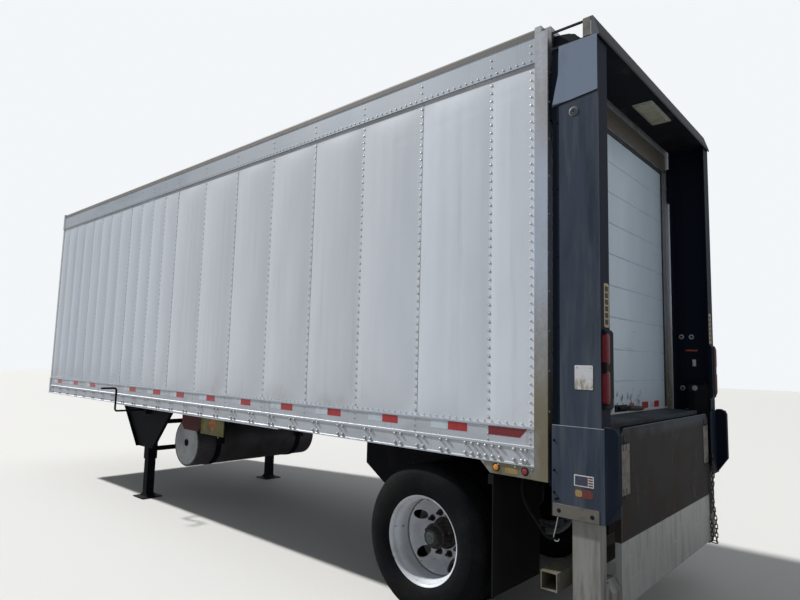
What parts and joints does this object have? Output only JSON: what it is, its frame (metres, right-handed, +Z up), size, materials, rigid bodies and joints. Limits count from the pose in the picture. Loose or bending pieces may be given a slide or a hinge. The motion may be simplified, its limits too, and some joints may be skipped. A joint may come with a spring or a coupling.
{
  "type": "semi trailer",
  "caption": "Short single axle van semi trailer with riveted side panels, roll-up rear door, column tail lift with upright platform, landing gear and nose cooling unit.",
  "frame": {"origin": "on the ground under the middle of the whole trailer's bounding box", "axes": "+X towards the kingpin, +Y to the trailer's left, +Z up"},
  "size_m": [9.256, 2.771, 3.897],
  "materials": {
    "amber_lens": "gloss",
    "bare_alu": "satin",
    "black_steel": "satin",
    "chain": "satin",
    "charcoal": "satin",
    "deck_steel": "matte",
    "floor": "satin",
    "galvanised": "satin",
    "hub": "matte",
    "lens": "gloss",
    "pale_lens": "satin",
    "red_paint": "satin",
    "rubber": "matte",
    "sign_holder": "satin",
    "tyre": "matte",
    "wheel_white": "gloss",
    "white": "gloss"
  },
  "bodies": {
    "trailer": {"air_springs": "rubber", "axle": "black_steel", "bed_extension": "deck_steel", "bottom_rail_left": "bare_alu", "bottom_rail_right": "bare_alu", "coupler": "black_steel", "crossmembers": "black_steel", "dome_lamp": "pale_lens", "door_latch": "black_steel", "floor_deck": "floor", "front_rails": "bare_alu", "front_wall": "white", "fuel_tank": "bare_alu", "landing_brackets": "black_steel", "landing_crank": "black_steel", "landing_legs": "black_steel", "lift_column_left": "charcoal", "lift_column_right": "charcoal", "lift_cover_left": "charcoal", "lift_cover_right": "charcoal", "lift_header": "charcoal", "lift_hoist": "black_steel", "marker_brackets": "galvanised", "marker_lamps": "amber_lens", "mud_flaps": "rubber", "placard_holders": "sign_holder", "rail_box": "red_paint", "rear_frame": "galvanised", "reefer_grille": "black_steel", "reefer_housing": "white", "rollup_door": "white", "roof": "white", "service_couplings": "black_steel", "side_wall_left": "white", "side_wall_right": "white", "suspension_subframe": "black_steel", "tail_lamps": "lens", "tank_straps": "black_steel", "top_rail_left": "bare_alu", "top_rail_right": "bare_alu", "trailing_arms": "black_steel", "underride_guard": "galvanised"},
    "wheels_left": {"hub_left": "hub", "rims_left": "wheel_white", "tyres_left": "tyre"},
    "wheels_right": {"hub_right": "hub", "rims_right": "wheel_white", "tyres_right": "tyre"},
    "lift": {"lift_runners": "galvanised", "platform_chain": "chain"},
    "platform": {"platform": "deck_steel", "platform_heel": "bare_alu"}
  },
  "joints": [
    {"name": "wheels_left_turn", "type": "hinge", "parent": "trailer", "child": "wheels_left", "pos_m": [-3.239, 0.7275, 0.509], "axis": [0, 1, 0], "continuous": true},
    {"name": "wheels_right_turn", "type": "hinge", "parent": "trailer", "child": "wheels_right", "pos_m": [-3.239, -1.0605, 0.509], "axis": [0, 1, 0], "continuous": true},
    {"name": "lift_travel", "type": "slide", "parent": "trailer", "child": "lift", "axis": [0, 0, 1], "range_m": [-0.325, 0.985]},
    {"name": "platform_fold", "type": "hinge", "parent": "lift", "child": "platform", "pos_m": [-4.515, -0.1665, 0.385], "axis": [0, -1, 0], "range_deg": [0, 90]}
  ]
}
